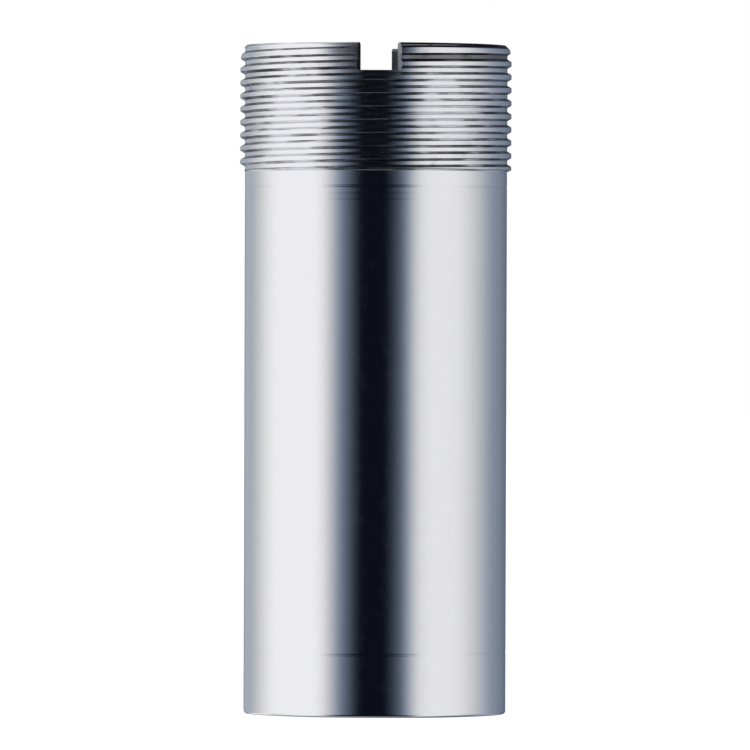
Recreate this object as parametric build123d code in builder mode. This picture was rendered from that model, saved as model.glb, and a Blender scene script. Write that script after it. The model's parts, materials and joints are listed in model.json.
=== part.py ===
"""Slotted threaded tube: one turned steel sleeve with a fine outside thread at one end.

Frame: millimetres, origin at the centre of the plain end's face, +Z along the axis
towards the threaded rim. The wrench slot runs along Y, so its two mouths face -Y and +Y.
"""

from build123d import *

import os
from math import ceil, radians, tan

# Overall tube
total_length = 51.0
skirt_radius = 10.0
bore_radius = 9.2

# Outside thread: single start, right hand, 60 degree flanks, flat crest and flat root
thread_pitch = 1.0
thread_crest_radius = 10.375
thread_root_radius = 10.01
thread_root_flat = 0.29
thread_half_angle = 30.0
threaded_length = 9.64
shoulder_chamfer_length = 0.15

# Rim: the crests of the last turns taper a little, and a 45 degree chamfer ends them
rim_taper_length = 1.2
rim_taper_radius = 10.2
rim_chamfer = 0.32

# The lowest turn of the groove: height of its middle where it crosses +X
groove_start_height = 41.1

# Wrench slot across the rim; its walls lean apart from the bore outwards
slot_width = 2.8
slot_depth = 2.1
slot_wall_lean = 16.0
slot_lean_start = 9.1

# Plain end and bore edges
end_corner_chamfer = 0.25
bore_edge_chamfer = 0.2

# Fine turned lines around the skirt: how far down from the rim each one is, and how deep
turned_lines = ((10.84, 0.025), (11.40, 0.012), (11.81, 0.012), (46.27, 0.02))
turned_line_half_width = 0.1

# How far a cutting shape reaches past the metal it cuts
overcut = 0.15

shoulder_height = total_length - threaded_length
rim_chamfer_start = total_length - rim_chamfer
cutter_radius = thread_crest_radius + overcut


def groove_half_width(radius):
    """Half the height of the thread groove at this radius."""
    return thread_root_flat / 2 + (radius - thread_root_radius) * tan(radians(thread_half_angle))


root_half_width = groove_half_width(thread_root_radius)
cutter_half_width = groove_half_width(cutter_radius)
groove_end_height = rim_chamfer_start + groove_half_width(rim_taper_radius)
groove_turns = ceil((groove_end_height - groove_start_height) / thread_pitch)

with BuildPart() as threaded_tube:
    # The turned blank, before the thread and the slot are cut
    with BuildSketch(Plane.XZ):
        with BuildLine():
            Polyline(
                (bore_radius + bore_edge_chamfer, 0),
                (skirt_radius - end_corner_chamfer, 0),
                (skirt_radius, end_corner_chamfer),
                (skirt_radius, shoulder_height),
                (thread_crest_radius, shoulder_height + shoulder_chamfer_length),
                (thread_crest_radius, total_length - rim_taper_length),
                (rim_taper_radius, rim_chamfer_start),
                (rim_taper_radius - rim_chamfer, total_length),
                (bore_radius + bore_edge_chamfer, total_length),
                (bore_radius, total_length - bore_edge_chamfer),
                (bore_radius, bore_edge_chamfer),
                close=True,
            )
        make_face()
    revolve(axis=Axis.Z)

    # Fine turned lines: shallow V grooves right round the skirt
    for line_depth, bite in turned_lines:
        line_height = total_length - line_depth
        with BuildSketch(Plane.XZ):
            with BuildLine():
                Polyline(
                    (skirt_radius - bite, line_height),
                    (skirt_radius + bite, line_height - 2 * turned_line_half_width),
                    (skirt_radius + bite, line_height + 2 * turned_line_half_width),
                    close=True,
                )
            make_face()
        revolve(axis=Axis.Z, mode=Mode.SUBTRACT)

    # Thread: the groove is cut turn by turn, from the shoulder up and out through the rim
    for turn in range(groove_turns):
        middle = groove_start_height + turn * thread_pitch
        with BuildLine():
            Helix(
                pitch=thread_pitch,
                height=thread_pitch,
                radius=thread_root_radius,
                center=(0, 0, middle),
            )
        with BuildSketch(Plane.XZ):
            with BuildLine():
                Polyline(
                    (thread_root_radius, middle - root_half_width),
                    (cutter_radius, middle - cutter_half_width),
                    (cutter_radius, middle + cutter_half_width),
                    (thread_root_radius, middle + root_half_width),
                    close=True,
                )
            make_face()
        sweep(is_frenet=True, mode=Mode.SUBTRACT)

    # Wrench slot, straight through both walls, widening outwards at its two mouths
    mouth_y = thread_crest_radius + overcut
    mouth_half_width = slot_width / 2 + (mouth_y - slot_lean_start) * tan(radians(slot_wall_lean))
    with BuildSketch(Plane.XY.offset(total_length - slot_depth)):
        with BuildLine():
            Polyline(
                (slot_width / 2, -slot_lean_start),
                (mouth_half_width, -mouth_y),
                (-mouth_half_width, -mouth_y),
                (-slot_width / 2, -slot_lean_start),
                (-slot_width / 2, slot_lean_start),
                (-mouth_half_width, mouth_y),
                (mouth_half_width, mouth_y),
                (slot_width / 2, slot_lean_start),
                close=True,
            )
        make_face()
    extrude(amount=slot_depth + overcut, mode=Mode.SUBTRACT)

threaded_tube.part.label = "threaded_tube"

os.makedirs("parts", exist_ok=True)
export_step(threaded_tube.part, "parts/threaded_tube.step")
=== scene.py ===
"""Looks for the slotted threaded tube: a bright polished steel sleeve on a pale floor.

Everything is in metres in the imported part's frame: the tube stands on its plain end at z = 0,
its axis is Z, and the two mouths of the wrench slot face -Y (towards the camera) and +Y.
"""

import json
import math

import bpy
import numpy as np
from mathutils import Matrix, Vector


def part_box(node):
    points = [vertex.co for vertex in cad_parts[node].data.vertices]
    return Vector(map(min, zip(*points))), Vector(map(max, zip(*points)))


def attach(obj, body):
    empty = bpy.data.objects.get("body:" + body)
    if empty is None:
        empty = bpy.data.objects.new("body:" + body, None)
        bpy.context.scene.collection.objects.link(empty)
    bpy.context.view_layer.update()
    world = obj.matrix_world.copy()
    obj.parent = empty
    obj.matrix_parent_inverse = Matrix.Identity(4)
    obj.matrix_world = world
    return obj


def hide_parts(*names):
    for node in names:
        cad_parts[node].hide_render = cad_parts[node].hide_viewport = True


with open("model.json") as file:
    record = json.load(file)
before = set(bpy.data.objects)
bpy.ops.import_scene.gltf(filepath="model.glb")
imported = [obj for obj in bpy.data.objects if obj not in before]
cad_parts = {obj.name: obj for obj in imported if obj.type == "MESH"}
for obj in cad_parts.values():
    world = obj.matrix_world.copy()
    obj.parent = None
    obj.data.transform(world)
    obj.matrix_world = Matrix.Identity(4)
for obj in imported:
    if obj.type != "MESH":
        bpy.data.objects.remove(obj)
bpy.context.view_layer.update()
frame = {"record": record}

MM = 0.001
TURN = 2 * math.pi

# ---------------------------------------------------------------- sizes
# Main sizes come from the frame
mounts = {mount["name"]: mount for mount in frame["record"]["mounts"]}
low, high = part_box("threaded_tube")
LENGTH = high.z - low.z
CREST_R = mounts["thread"]["dims"]["r_mm"] * MM
THREAD_LENGTH = mounts["thread"]["dims"]["length_mm"] * MM
SKIRT_R = mounts["skirt"]["dims"]["r_mm"] * MM
BORE_R = mounts["bore"]["dims"]["r_mm"] * MM
SLOT_FLOOR_Z = mounts["wrench_slot"]["pos_m"][2]

# Thread form, as the CAD part has it
PITCH = 1.0 * MM
ROOT_R = 10.01 * MM
ROOT_FLAT = 0.29 * MM
FLANK_RISE = 1 / math.tan(math.radians(30))
GROOVE_START_Z = 41.1 * MM
SHOULDER_Z = LENGTH - THREAD_LENGTH
SHOULDER_RUN = 0.15 * MM
RIM_TAPER = 1.2 * MM
RIM_TAPER_R = 10.2 * MM
RIM_CHAMFER = 0.32 * MM

# Slot and edges, as the CAD part has them, but here the plain end's corner is rounded
SLOT_HALF_WIDTH = 1.4 * MM
SLOT_WALL_LEAN = math.tan(math.radians(16))
SLOT_LEAN_START = 9.1 * MM
END_CORNER = 0.25 * MM
BORE_EDGE = 0.2 * MM
# Fine turned lines round the skirt: how far each one is below the rim, and how deep
TURNED_LINES = (
    (10.84 * MM, 0.025 * MM),
    (11.4 * MM, 0.012 * MM),
    (11.81 * MM, 0.012 * MM),
    (46.27 * MM, 0.02 * MM),
)
LINE_HALF_WIDTH = 0.1 * MM

# Wear: how far a corner of the thread is rounded over, and how much a crest has lost
ROUNDING = 0.04 * MM
LEAST_WEAR = 0.003 * MM
MOST_WEAR = 0.05 * MM

# ---------------------------------------------------------------- the outer surface

# Half the span over which the surface's slope is measured
SLOPE_STEP = 0.003 * MM


def lower_of(a, b):
    """The smaller of a and b, rounded over where they meet."""
    near = np.maximum(ROUNDING - np.abs(a - b), 0) / ROUNDING
    return np.minimum(a, b) - near * near * ROUNDING / 4


def higher_of(a, b):
    """The larger of a and b, rounded over where they meet."""
    return -lower_of(-a, -b)


def thread_radius(angle, z):
    """Radius of an endless thread: a flat-bottomed V groove climbing on a helix."""
    turns = (z - GROOVE_START_Z) / PITCH - angle / TURN
    from_groove = np.abs(turns - np.round(turns)) * PITCH
    flank = ROOT_R + (from_groove - ROOT_FLAT / 2) * FLANK_RISE
    # One side of the tube is more worn than the other
    worn = LEAST_WEAR + (MOST_WEAR - LEAST_WEAR) * (1 + np.cos(angle)) / 2
    return higher_of(lower_of(flank, CREST_R - worn), ROOT_R)


def outer_radius(angle, z):
    """Radius of the whole outer surface at this angle and height."""
    below_rim = LENGTH - z
    taper_slope = (CREST_R - RIM_TAPER_R) / (RIM_TAPER - RIM_CHAMFER)
    taper = RIM_TAPER_R + (below_rim - RIM_CHAMFER) * taper_slope
    rim = lower_of(taper, RIM_TAPER_R + below_rim - RIM_CHAMFER)
    shoulder = SKIRT_R + (z - SHOULDER_Z) * (CREST_R - SKIRT_R) / SHOULDER_RUN
    threaded = lower_of(lower_of(thread_radius(angle, z), rim), shoulder)

    skirt = SKIRT_R
    for line_depth, bite in TURNED_LINES:
        inside = np.maximum(1 - np.abs(below_rim - line_depth) / LINE_HALF_WIDTH, 0)
        skirt = skirt - bite * inside
    end_corner = skirt - END_CORNER + np.sqrt(
        np.maximum(END_CORNER**2 - np.maximum(END_CORNER - z, 0) ** 2, 0)
    )
    skirt = np.where(z < END_CORNER, end_corner, skirt)
    return np.where(z < SHOULDER_Z, skirt, threaded)


def outer_normal(angle, z):
    """Unit normals of the outer surface, from its slope both ways."""
    above = np.minimum(z + SLOPE_STEP, LENGTH)
    below = np.maximum(z - SLOPE_STEP, 0)
    rise = (outer_radius(angle, above) - outer_radius(angle, below)) / (above - below)
    turn = SLOPE_STEP / SKIRT_R
    ahead = outer_radius(angle + turn, z) - outer_radius(angle - turn, z)
    across = ahead / (2 * turn) / outer_radius(angle, z)
    x = np.cos(angle) + across * np.sin(angle)
    y = np.sin(angle) - across * np.cos(angle)
    normal = np.stack([x, y, -rise], axis=-1)
    return normal / np.linalg.norm(normal, axis=-1, keepdims=True)


# ---------------------------------------------------------------- the tube's mesh

COLUMNS = 360
# Heights of the mesh rows within one pitch, as shares of it up from the middle of the groove
HALF_PITCH_ROWS = (0.07, 0.125, 0.165, 0.21, 0.29, 0.335, 0.375, 0.43)
PITCH_ROWS = (0.0,) + HALF_PITCH_ROWS + (0.5,) + tuple(1 - s for s in reversed(HALF_PITCH_ROWS))
# Between these two levels the rows climb with the helix; outside them they lie level
HELIX_LOW_Z = SHOULDER_Z + SHOULDER_RUN + 0.01 * MM
HELIX_HIGH_Z = LENGTH - RIM_CHAMFER
# A climbing row closer than this to one of those levels runs into it
MERGE_GAP = 0.008 * MM
# Between these two levels the skirt has no lines
PLAIN_LOW_Z = 8 * MM
PLAIN_HIGH_Z = 37 * MM
# Rings of a turned line, in half widths of the line from its middle
LINE_RINGS = (-1.4, -1.0, -0.5, 0.0, 0.5, 1.0, 1.4)
# Distance of the rings just below and just above the foot of the shoulder
SHOULDER_GAP = 0.03 * MM
# How far the slot's cutter reaches past the crests, and how high its top is
OVERCUT = 0.15 * MM
CUTTER_TOP_Z = LENGTH + 1 * MM
# A face belongs to the outer surface if it is this close to it and faces nearly the same way
SURFACE_GAP = 0.03 * MM
LEAST_AGREEMENT = 0.6
# A face lies level when the Z of its normal, up or down, is at least this
LEVEL_FACE = 0.999
# Faces of the bore and of its two edges have their centres within this radius
BORE_REACH = BORE_R + 0.55 * BORE_EDGE


def skirt_levels():
    """Heights of the level rings up the skirt, close together wherever its shape changes."""
    levels = [END_CORNER * (1 - math.cos(share * math.pi / 2)) for share in np.linspace(0, 1, 6)]
    levels += list(np.linspace(PLAIN_LOW_Z, PLAIN_HIGH_Z, 9))
    for line_depth, bite in TURNED_LINES:
        for offset in LINE_RINGS:
            levels.append(LENGTH - line_depth + offset * LINE_HALF_WIDTH)
    levels += [SHOULDER_Z - SHOULDER_GAP, SHOULDER_Z]
    levels += list(np.linspace(SHOULDER_Z + SHOULDER_GAP, HELIX_LOW_Z, 5))
    return sorted(levels)


class TubeGrid:
    """Collects rings of vertices and the faces between them."""

    def __init__(self):
        self.angles = np.arange(COLUMNS) * TURN / COLUMNS
        self.points = []
        self.faces = []

    def ring(self, radii, z):
        """Adds a level ring and gives back its vertex numbers."""
        start = len(self.points)
        radii = np.broadcast_to(radii, COLUMNS)
        for angle, radius in zip(self.angles, radii):
            self.points.append((radius * math.cos(angle), radius * math.sin(angle), z))
        return list(range(start, start + COLUMNS))

    def outer_ring(self, z):
        return self.ring(outer_radius(self.angles, np.full(COLUMNS, z)), z)

    def face(self, corners):
        """Adds a face, leaving out corners that have run together."""
        kept = [corner for n, corner in enumerate(corners) if corner != corners[n - 1]]
        if len(set(kept)) > 2:
            self.faces.append(kept)

    def join(self, lower, upper):
        for j in range(COLUMNS):
            k = (j + 1) % COLUMNS
            self.face([lower[j], lower[k], upper[k], upper[j]])

    def join_all(self, rings):
        for lower, upper in zip(rings, rings[1:]):
            self.join(lower, upper)

    def helical_rows(self, base, top):
        """Fills between two level rings with rows that follow the thread."""
        first = math.floor((HELIX_LOW_Z - GROOVE_START_Z) / PITCH) - 1
        last = math.ceil((HELIX_HIGH_Z - GROOVE_START_Z) / PITCH) + 1
        starts = [turn + share for turn in range(first, last) for share in PITCH_ROWS]
        made = {}

        def vertex(row, column):
            if column == COLUMNS:
                # A full turn on, the row has climbed to where a row one pitch up began
                return vertex(row + len(PITCH_ROWS), 0)
            if row >= len(starts):
                return top[column]
            z = GROOVE_START_Z + (starts[row] + column / COLUMNS) * PITCH
            if z <= HELIX_LOW_Z + MERGE_GAP:
                return base[column]
            if z >= HELIX_HIGH_Z - MERGE_GAP:
                return top[column]
            if (row, column) not in made:
                angle = self.angles[column]
                radius = float(outer_radius(angle, z))
                made[row, column] = len(self.points)
                self.points.append((radius * math.cos(angle), radius * math.sin(angle), z))
            return made[row, column]

        for row in range(len(starts) - 1):
            for j in range(COLUMNS):
                lower = [vertex(row, j), vertex(row, j + 1)]
                upper = [vertex(row + 1, j + 1), vertex(row + 1, j)]
                self.face(lower + upper)


def tube_grid():
    """The tube before its slot is cut, as one closed surface."""
    grid = TubeGrid()
    edge_r = BORE_R + BORE_EDGE
    bore = [grid.ring(edge_r, LENGTH), grid.ring(BORE_R, LENGTH - BORE_EDGE)]
    bore += [grid.ring(BORE_R, z) for z in np.linspace(LENGTH - 3 * MM, 3 * MM, 12)]
    bore += [grid.ring(BORE_R, BORE_EDGE), grid.ring(edge_r, 0.0)]
    skirt = [grid.outer_ring(z) for z in skirt_levels()]
    rim = [grid.outer_ring(z) for z in np.linspace(HELIX_HIGH_Z, LENGTH, 10)]
    grid.join_all(bore + skirt)
    grid.helical_rows(skirt[-1], rim[0])
    grid.join_all(rim + bore[:1])
    return grid.points, grid.faces


def slot_cutter():
    """A prism with the slot's plan: parallel through the bore, leaning apart at its two mouths."""
    mouth_y = CREST_R + OVERCUT
    mouth_x = SLOT_HALF_WIDTH + (mouth_y - SLOT_LEAN_START) * SLOT_WALL_LEAN
    right = [(mouth_x, -mouth_y), (SLOT_HALF_WIDTH, -SLOT_LEAN_START)]
    right += [(x, -y) for x, y in reversed(right)]
    plan = right + [(-x, y) for x, y in reversed(right)]
    count = len(plan)
    points = [(x, y, z) for z in (SLOT_FLOOR_Z, CUTTER_TOP_Z) for x, y in plan]
    faces = [list(range(count))[::-1], list(range(count, 2 * count))]
    for n in range(count):
        after = (n + 1) % count
        faces.append([n, after, after + count, n + count])
    return points, faces


def new_object(name, points, faces):
    mesh = bpy.data.meshes.new(name)
    mesh.from_pydata([tuple(float(c) for c in point) for point in points], [], faces)
    mesh.validate()
    shape = bpy.data.objects.new(name, mesh)
    bpy.context.scene.collection.objects.link(shape)
    return shape


def cut(shape, cutter):
    """Takes the cutter's solid out of the shape and throws the cutter away."""
    difference = shape.modifiers.new("cut", "BOOLEAN")
    difference.operation = "DIFFERENCE"
    difference.solver = "EXACT"
    difference.object = cutter
    bpy.context.view_layer.update()
    ready = shape.evaluated_get(bpy.context.evaluated_depsgraph_get())
    shape.data = bpy.data.meshes.new_from_object(ready)
    shape.modifiers.remove(difference)
    bpy.data.objects.remove(cutter)


def read(items, name, width=1):
    """One attribute of all of a mesh's items, as an array."""
    values = np.zeros(len(items) * width)
    items.foreach_get(name, values)
    return values.reshape(-1, width) if width > 1 else values.astype(int)


def set_normals(shape):
    """Gives the turned surfaces their exact normals, so that reflections run true along them."""
    mesh = shape.data
    flat = read(mesh.polygons, "normal", 3)
    centre = read(mesh.polygons, "center", 3)
    face_of_corner = np.repeat(np.arange(len(flat)), read(mesh.polygons, "loop_total"))
    corner = read(mesh.vertices, "co", 3)[read(mesh.loops, "vertex_index")]
    angle = np.arctan2(corner[:, 1], corner[:, 0])

    reach = np.hypot(centre[:, 0], centre[:, 1])
    bearing = np.arctan2(centre[:, 1], centre[:, 0])
    # The slot's walls reach the outer surface too, but they face another way
    agreement = np.sum(flat * outer_normal(bearing, centre[:, 2]), axis=1)
    gap = np.abs(reach - outer_radius(bearing, centre[:, 2]))
    turned = (agreement > LEAST_AGREEMENT) & (gap < SURFACE_GAP)
    sloping = np.abs(flat[:, 2]) < LEVEL_FACE
    outer = (sloping & turned)[face_of_corner]
    inner = (sloping & (reach < BORE_REACH))[face_of_corner]

    normals = flat[face_of_corner]
    normals[outer] = outer_normal(angle[outer], corner[outer, 2])
    level = np.hypot(normals[inner, 0], normals[inner, 1])
    normals[inner, 0] = -level * np.cos(angle[inner])
    normals[inner, 1] = -level * np.sin(angle[inner])
    mesh.polygons.foreach_set("use_smooth", np.ones(len(mesh.polygons), bool))
    mesh.normals_split_custom_set(normals)


def make_tube():
    shape = new_object("steel_tube", *tube_grid())
    cut(shape, new_object("slot_cutter", *slot_cutter()))
    set_normals(shape)
    shape.data.materials.clear()
    shape.data.materials.append(steel())
    return shape


# ---------------------------------------------------------------- node trees written as sums


class Graph:
    """Builds a node tree out of short calls, each giving back the socket of its result."""

    def __init__(self, tree):
        self.tree = tree

    def node(self, kind, **inputs):
        made = self.tree.nodes.new(kind)
        for name, value in inputs.items():
            self.plug(made.inputs[name.replace("_", " ")], value)
        return made

    def plug(self, socket, value):
        if isinstance(value, bpy.types.NodeSocket):
            self.tree.links.new(value, socket)
        else:
            socket.default_value = value

    def math(self, operation, *values):
        made = self.tree.nodes.new("ShaderNodeMath")
        made.operation = operation
        for socket, value in zip(made.inputs, values):
            self.plug(socket, value)
        return made.outputs[0]

    def add(self, first, *others):
        for other in others:
            first = self.math("ADD", first, other)
        return first

    def times(self, first, *others):
        for other in others:
            first = self.math("MULTIPLY", first, other)
        return first

    def ramp(self, value, start, end):
        """Smoothly from 0 at start to 1 at end."""
        made = self.tree.nodes.new("ShaderNodeMapRange")
        made.interpolation_type = "SMOOTHSTEP"
        self.plug(made.inputs["Value"], value)
        self.plug(made.inputs["From Min"], start)
        self.plug(made.inputs["From Max"], end)
        return made.outputs["Result"]

    def between(self, value, fade_in, full, full_end, fade_out):
        return self.times(self.ramp(value, fade_in, full), self.ramp(value, fade_out, full_end))

    def mix(self, amount, first, second):
        """Blends two colours; a mix node has those on its sockets 6 and 7, and the result on 2."""
        made = self.tree.nodes.new("ShaderNodeMix")
        made.data_type = "RGBA"
        self.plug(made.inputs[0], amount)
        self.plug(made.inputs[6], first)
        self.plug(made.inputs[7], second)
        return made.outputs[2]

    def split(self, vector):
        made = self.tree.nodes.new("ShaderNodeSeparateXYZ")
        self.plug(made.inputs[0], vector)
        return made.outputs

    def distance(self, vector, point):
        made = self.tree.nodes.new("ShaderNodeVectorMath")
        made.operation = "DISTANCE"
        self.plug(made.inputs[0], vector)
        made.inputs[1].default_value = point
        return made.outputs["Value"]

    def noise(self, vector, stretch, detail=3.0, shift=0.0):
        """Cloudy noise from 0 to 1; stretch is its fineness along each axis, in cells per metre."""
        placed = self.tree.nodes.new("ShaderNodeMapping")
        placed.inputs["Location"].default_value = (shift, shift, shift)
        placed.inputs["Scale"].default_value = stretch
        self.plug(placed.inputs["Vector"], vector)
        made = self.node("ShaderNodeTexNoise", Scale=1.0, Detail=detail, Vector=placed.outputs[0])
        return made.outputs["Fac"]


# ---------------------------------------------------------------- materials


CLEAN_STEEL = (0.80, 0.80, 0.82, 1)
# Also the colour of the painted shade in the bore and on the slot's left walls
GRIMY_AND_SHADED_STEEL = (0.045, 0.04, 0.045, 1)

# How much of the clean steel each kind of soiling hides, and the painted shade in the bore
FLANK_GRIME = 0.8
SMUDGE_GRIME = 0.3
PACKED_GRIME = 0.75
BORE_SHADE = 0.4

# Share of the soiling that stays near the rim, inside the painted highlights too
RIM_DIRT = 0.8

# Middles of the two patches of the thread where the left and right light cards reflect, kept
# lighter as painted highlights
PAINTED_HIGHLIGHT_LEFT = (-0.68 * SKIRT_R, -0.73 * SKIRT_R, SHOULDER_Z + 3 * MM)
PAINTED_HIGHLIGHT_RIGHT = (0.515 * SKIRT_R, -0.857 * SKIRT_R, SHOULDER_Z + 5 * MM)

# Roughness of the polish, and what each flaw adds to it
POLISH = 0.1
CLOUDS = 0.05
MOTTLING = 0.07
DULL_GRIME = 0.3
MILLED_WALL = 0.3
SCUFFS = 0.15

# Height of the turning marks, and how high the grain is as a share of that
MARK_HEIGHT = 0.0012 * MM
GRAIN_SHARE = 0.6


class Spot:
    """A shaded point of the tube: its place, its distance from the axis and its facing."""

    def __init__(self, graph):
        self.place = graph.node("ShaderNodeTexCoord").outputs["Object"]
        self.x, self.y, self.z = graph.split(self.place)
        squares = graph.add(graph.times(self.x, self.x), graph.times(self.y, self.y))
        self.reach = graph.math("SQRT", squares)
        facing = graph.split(graph.node("ShaderNodeNewGeometry").outputs["Normal"])
        self.facing_right = facing[0]
        self.facing_up = facing[2]
        self.on_near_side = graph.ramp(self.y, 1 * MM, -1 * MM)


def thread_area(graph, spot):
    """The outside of the thread, without the edge of the rim on the left, kept clean as a painted
    highlight.
    """
    # Painted highlight: the rim's edge on the left stays clean steel
    painted_highlight_edge = graph.times(
        graph.ramp(spot.z, LENGTH - 0.25 * MM, LENGTH - 0.15 * MM),
        graph.ramp(spot.x, 1 * MM, -1 * MM),
    )
    return graph.times(
        graph.ramp(spot.z, SHOULDER_Z + 0.02 * MM, SHOULDER_Z + 0.12 * MM),
        graph.ramp(spot.reach, BORE_R + 0.3 * MM, BORE_R + 0.5 * MM),
        graph.add(1, graph.times(-1, painted_highlight_edge)),
    )


def dirt_with_painted_highlights(graph, spot):
    """How soiled the thread is: little in the two painted highlights where the light cards reflect,
    except near the rim.
    """
    away_from_highlights = graph.times(
        graph.ramp(graph.distance(spot.place, PAINTED_HIGHLIGHT_LEFT), 1 * MM, 7.2 * MM),
        graph.ramp(graph.distance(spot.place, PAINTED_HIGHLIGHT_RIGHT), 0.8 * MM, 5 * MM),
    )
    near_rim = graph.ramp(spot.z, LENGTH - 1.75 * MM, LENGTH - 1.4 * MM)
    return graph.math("MAXIMUM", away_from_highlights, graph.times(RIM_DIRT, near_rim))


def flank_grime(graph, spot, dirt_and_painted_highlight):
    """Streaks round the sloping faces of the thread, heavier on those turned up."""
    tilt = graph.math("ABSOLUTE", spot.facing_up)
    on_flank = graph.between(tilt, 0.3, 0.7, 0.97, 0.995)
    streaks = graph.noise(spot.place, (330, 330, 1900), shift=3.1)
    turned_up = graph.ramp(spot.facing_up, -0.5, 0.5)
    # Fewer streaks inside the painted highlights, where the light cards reflect
    stain = graph.add(streaks, graph.times(0.22, dirt_and_painted_highlight), graph.times(0.1, turned_up))
    return graph.times(FLANK_GRIME, on_flank, graph.ramp(stain, 0.57, 0.8))


def packed_grime(graph, spot):
    """Dirt packed into the bottom of the highest groove, on the right of the near side."""
    return graph.times(
        PACKED_GRIME,
        graph.ramp(spot.reach, ROOT_R + 0.15 * MM, ROOT_R + 0.05 * MM),
        graph.ramp(spot.z, LENGTH - 1.5 * MM, LENGTH - 1.35 * MM),
        graph.ramp(spot.x, 1 * MM, 3 * MM),
        spot.on_near_side,
    )


def thread_grime(graph, spot):
    """What darkens the thread: streaks, smudges and a deposit packed near the rim, less of it in
    the painted highlights.
    """
    dirt_and_painted_highlight = dirt_with_painted_highlights(graph, spot)
    clumps = graph.noise(spot.place, (500, 500, 900), detail=4.0, shift=7.7)
    # Fewer smudges inside the painted highlights too
    smudges = graph.times(SMUDGE_GRIME, graph.ramp(clumps, 0.55, 0.75), dirt_and_painted_highlight)
    grime_and_painted_light = graph.add(flank_grime(graph, spot, dirt_and_painted_highlight), smudges, packed_grime(graph, spot))
    return graph.times(thread_area(graph, spot), grime_and_painted_light)


def slot_walls(graph, spot):
    """The milled walls of the wrench slot."""
    return graph.times(
        graph.ramp(graph.math("ABSOLUTE", spot.facing_right), 0.85, 0.93),
        graph.ramp(graph.math("ABSOLUTE", spot.x), 2.2 * MM, 2 * MM),
        graph.ramp(spot.z, SLOT_FLOOR_Z - 0.1 * MM, SLOT_FLOOR_Z),
    )


def all_grime_and_painted_light(graph, spot, slot_wall):
    """What darkens the thread, a duller bore with painted shade in it, and painted shade on the
    slot's left walls.
    """
    # Painted shade inside the bore
    in_bore = graph.ramp(spot.reach, BORE_R + 0.3 * MM, BORE_R + 0.1 * MM)
    # Painted shade on the slot walls that face right, on the slot's left
    painted_wall_shade = graph.times(slot_wall, graph.ramp(spot.facing_right, 0.2, 0.6))
    grime_and_painted_light = graph.add(thread_grime(graph, spot), graph.times(BORE_SHADE, in_bore), painted_wall_shade)
    return graph.math("MINIMUM", grime_and_painted_light, 1.0)


def steel_roughness(graph, spot, grime_and_painted_light, slot_wall):
    """Nearly a mirror, duller in clouds and specks, under grime and where it was milled."""
    clouds = graph.noise(spot.place, (160, 160, 90), detail=4.0)
    speckle = graph.noise(spot.place, (1500, 1500, 1100), detail=4.0, shift=11.0)
    # Wrench marks beside the slot's near mouth, on its left
    scuffed = graph.times(
        graph.between(spot.x, -4 * MM, -2.6 * MM, -1.5 * MM, -1 * MM),
        graph.ramp(spot.z, SLOT_FLOOR_Z - 1.5 * MM, SLOT_FLOOR_Z + 0.3 * MM),
        spot.on_near_side,
    )
    return graph.add(
        POLISH,
        graph.times(CLOUDS, clouds),
        graph.times(DULL_GRIME, grime_and_painted_light),
        graph.times(MILLED_WALL, slot_wall),
        graph.times(MOTTLING, graph.ramp(speckle, 0.45, 0.8)),
        graph.times(SCUFFS, scuffed),
    )


def turning_marks(graph, spot):
    """Normals bent by turning marks: fine along Z and long round the tube, with some grain."""
    marks = graph.noise(spot.place, (60, 60, 9000), detail=2.0, shift=1.3)
    grain = graph.noise(spot.place, (900, 900, 900), detail=3.0, shift=5.0)
    bump = graph.node("ShaderNodeBump", Strength=1.0, Distance=MARK_HEIGHT)
    graph.plug(bump.inputs["Height"], graph.add(marks, graph.times(GRAIN_SHARE, grain)))
    return bump.outputs["Normal"]


def steel():
    """Bright polished steel: faint turning marks, streaks left on the flanks of the thread, painted
    highlights, and painted shade in the bore and on the slot's left walls.
    """
    material = bpy.data.materials.new("polished_steel")
    material.use_nodes = True
    graph = Graph(material.node_tree)
    surface = material.node_tree.nodes["Principled BSDF"]
    spot = Spot(graph)
    slot_wall = slot_walls(graph, spot)
    grime_and_painted_light = all_grime_and_painted_light(graph, spot, slot_wall)
    # The colour carries painted shade and painted highlights along with the grime
    graph.plug(surface.inputs["Base Color"], graph.mix(grime_and_painted_light, CLEAN_STEEL, GRIMY_AND_SHADED_STEEL))
    graph.plug(surface.inputs["Roughness"], steel_roughness(graph, spot, grime_and_painted_light, slot_wall))
    graph.plug(surface.inputs["Normal"], turning_marks(graph, spot))
    surface.inputs["Metallic"].default_value = 1.0
    return material


def floor_material():
    """A pale matt floor that stays close to white."""
    material = bpy.data.materials.new("pale_floor")
    material.use_nodes = True
    surface = material.node_tree.nodes["Principled BSDF"]
    surface.inputs["Base Color"].default_value = (0.9, 0.9, 0.9, 1)
    surface.inputs["Roughness"].default_value = 0.9
    surface.inputs["Emission Color"].default_value = (1, 1, 1, 1)
    surface.inputs["Emission Strength"].default_value = 0.9
    return material


# ---------------------------------------------------------------- studio

# The camera: distances in metres, angles in degrees, focal length in millimetres
CAMERA_SWING = 1.35  # how far it stands to the left of the line along the slot
CAMERA_DISTANCE = 0.83
CAMERA_HEIGHT = 0.0289
CAMERA_TARGET = (-0.00003, 0, 0.02585)
CAMERA_ROLL = 0.18
CAMERA_LENS = 521.9

FLOOR_HALF_WIDTH = 3.0

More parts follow.
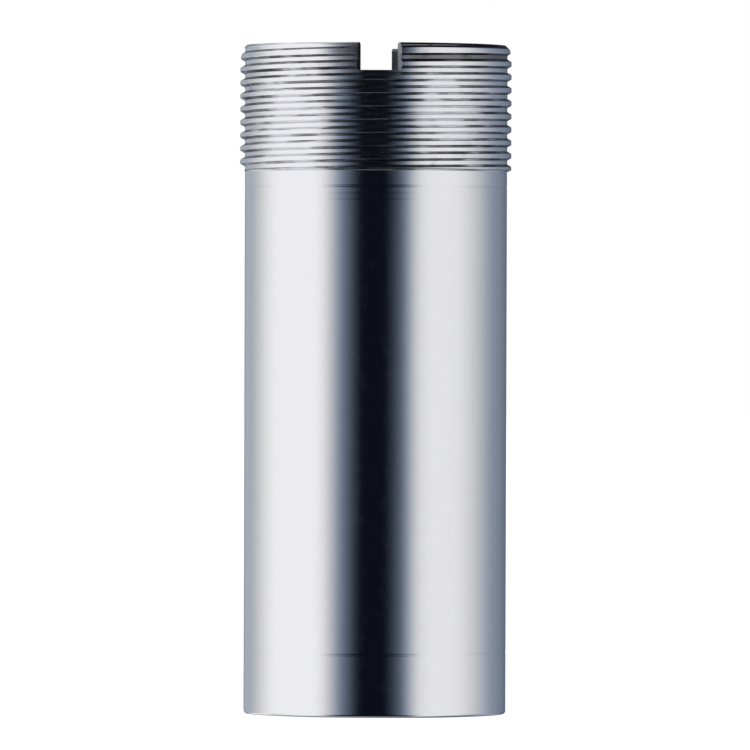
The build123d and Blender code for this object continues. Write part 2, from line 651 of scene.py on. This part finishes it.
# Light cards, which the camera itself doesn't see. Angles are in degrees: azimuth 0 is towards
# the camera and grows to its right. Each range fades in over its first two values and fades out
# over its last two
HALF_WIDTH_HEIGHT = 50  # angle above or below eye level at which a card is half as wide
LEFT_MIDDLE = -76
RIGHT_MIDDLE = 64
BEHIND_LEFT = -164
BEHIND_RIGHT = 164
OVERHEAD_MIDDLE = -112
TALL = (-80, -45, 40, 80)
SHORT = (-80, -45, 18, 52)
RAISED = (18, 30, 46, 56)
LOWERED = (-62, -50, -20, -12)
OVERHEAD = (35, 50, 90, 100)
# Middle azimuth, range of azimuths, range of heights, strength
CARDS = (
    (LEFT_MIDDLE, (-146, -93, -56, -27), TALL, 0.58),
    (LEFT_MIDDLE, (-195, -154, -50, -11), TALL, 0.47),
    (BEHIND_LEFT, (-195, -178, -90, -60), RAISED, 0.35),
    (BEHIND_LEFT, (-195, -178, -120, -90), LOWERED, 0.5),
    (BEHIND_RIGHT, (90, 120, 178, 195), LOWERED, 0.2),
    (OVERHEAD_MIDDLE, (-190, -160, -70, -30), OVERHEAD, 0.6),
    (RIGHT_MIDDLE, (21, 42, 70, 130), SHORT, 0.46),
    (RIGHT_MIDDLE, (7, 54, 55, 231), SHORT, 0.5),
)
# Light from straight below, and the angles where it starts and is full
BELOW_LIGHT = 0.45
BELOW_RANGE = (-62, -74)
# Light that comes from everywhere
LEAST_LIGHT = 0.005
# Tints of the light where it is darkest, faint and full, and the light between which they blend
DARK_TINT = (0.75, 1.0, 1.9, 1)
DARK_TO_FAINT = (0.004, 0.03)
FAINT_TINT = (0.78, 1.0, 1.38, 1)
FAINT_TO_FULL = (0.02, 0.75)
FULL_TINT = (1.0, 1.0, 1.01, 1)
WHITE = (1, 1, 1, 1)


def make_floor():
    half = FLOOR_HALF_WIDTH
    corners = [(-half, -half, 0), (half, -half, 0), (half, half, 0), (-half, half, 0)]
    floor = new_object("pale_floor", corners, [(0, 1, 2, 3)])
    floor.data.materials.append(floor_material())
    # Reflections look straight through it, at the studio's light from below
    floor.visible_glossy = False


def card(graph, direction, middle, sideways, upright, strength):
    """A soft light card, in degrees: it narrows towards its middle above and below eye level."""
    azimuth, height = direction
    squeeze = graph.add(1, graph.math("POWER", graph.times(height, 1 / HALF_WIDTH_HEIGHT), 2))
    azimuth = graph.add(middle, graph.times(graph.add(azimuth, -middle), squeeze))
    return graph.times(
        graph.between(azimuth, *sideways), graph.between(height, *upright), strength
    )


def make_studio():
    """White to the camera. In reflections: tall cards left, lower ones right, dark between."""
    world = bpy.data.worlds.new("studio")
    bpy.context.scene.world = world
    world.use_nodes = True
    tree = world.node_tree
    tree.nodes.clear()
    graph = Graph(tree)
    x, y, z = graph.split(graph.node("ShaderNodeTexCoord").outputs["Generated"])
    azimuth = graph.math("ARCTAN2", x, graph.times(y, -1))
    azimuth = graph.add(graph.times(azimuth, 180 / math.pi), CAMERA_SWING)
    height = graph.times(graph.math("ARCSINE", z), 180 / math.pi)
    direction = (azimuth, height)

    cards = [card(graph, direction, *values) for values in CARDS]
    below = graph.times(BELOW_LIGHT, graph.ramp(height, *BELOW_RANGE))
    light = graph.add(*cards, below, LEAST_LIGHT)
    dusk = graph.mix(graph.ramp(light, *DARK_TO_FAINT), DARK_TINT, FAINT_TINT)
    tint = graph.mix(graph.ramp(light, *FAINT_TO_FULL), dusk, FULL_TINT)
    room = graph.node("ShaderNodeBackground", Color=tint, Strength=light)
    white = graph.node("ShaderNodeBackground", Color=WHITE, Strength=1.0)
    pick = tree.nodes.new("ShaderNodeMixShader")
    graph.plug(pick.inputs[0], graph.node("ShaderNodeLightPath").outputs["Is Camera Ray"])
    graph.plug(pick.inputs[1], room.outputs[0])
    graph.plug(pick.inputs[2], white.outputs[0])
    output = tree.nodes.new("ShaderNodeOutputWorld")
    graph.plug(output.inputs["Surface"], pick.outputs[0])


def make_camera():
    """A long lens level with the tube's upper half, a little left of the slot."""
    camera = bpy.data.objects.new("camera", bpy.data.cameras.new("camera"))
    bpy.context.scene.collection.objects.link(camera)
    swing = math.radians(CAMERA_SWING)
    away = Vector((-math.sin(swing), -math.cos(swing), 0)) * CAMERA_DISTANCE
    camera.location = away + Vector((0, 0, CAMERA_HEIGHT))
    aim = Vector(CAMERA_TARGET) - camera.location
    aim = aim.to_track_quat("-Z", "Y").to_matrix().to_4x4()
    roll = Matrix.Rotation(math.radians(CAMERA_ROLL), 4, "Z")
    camera.rotation_mode = "QUATERNION"
    camera.rotation_quaternion = (aim @ roll).to_quaternion()
    camera.data.lens = CAMERA_LENS
    camera.data.sensor_width = 36
    camera.data.clip_start = 0.01
    camera.data.clip_end = 10
    bpy.context.scene.camera = camera


tube = make_tube()
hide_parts("threaded_tube")
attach(tube, "root")
make_floor()
make_studio()
make_camera()
bpy.context.scene.view_settings.view_transform = "Standard"
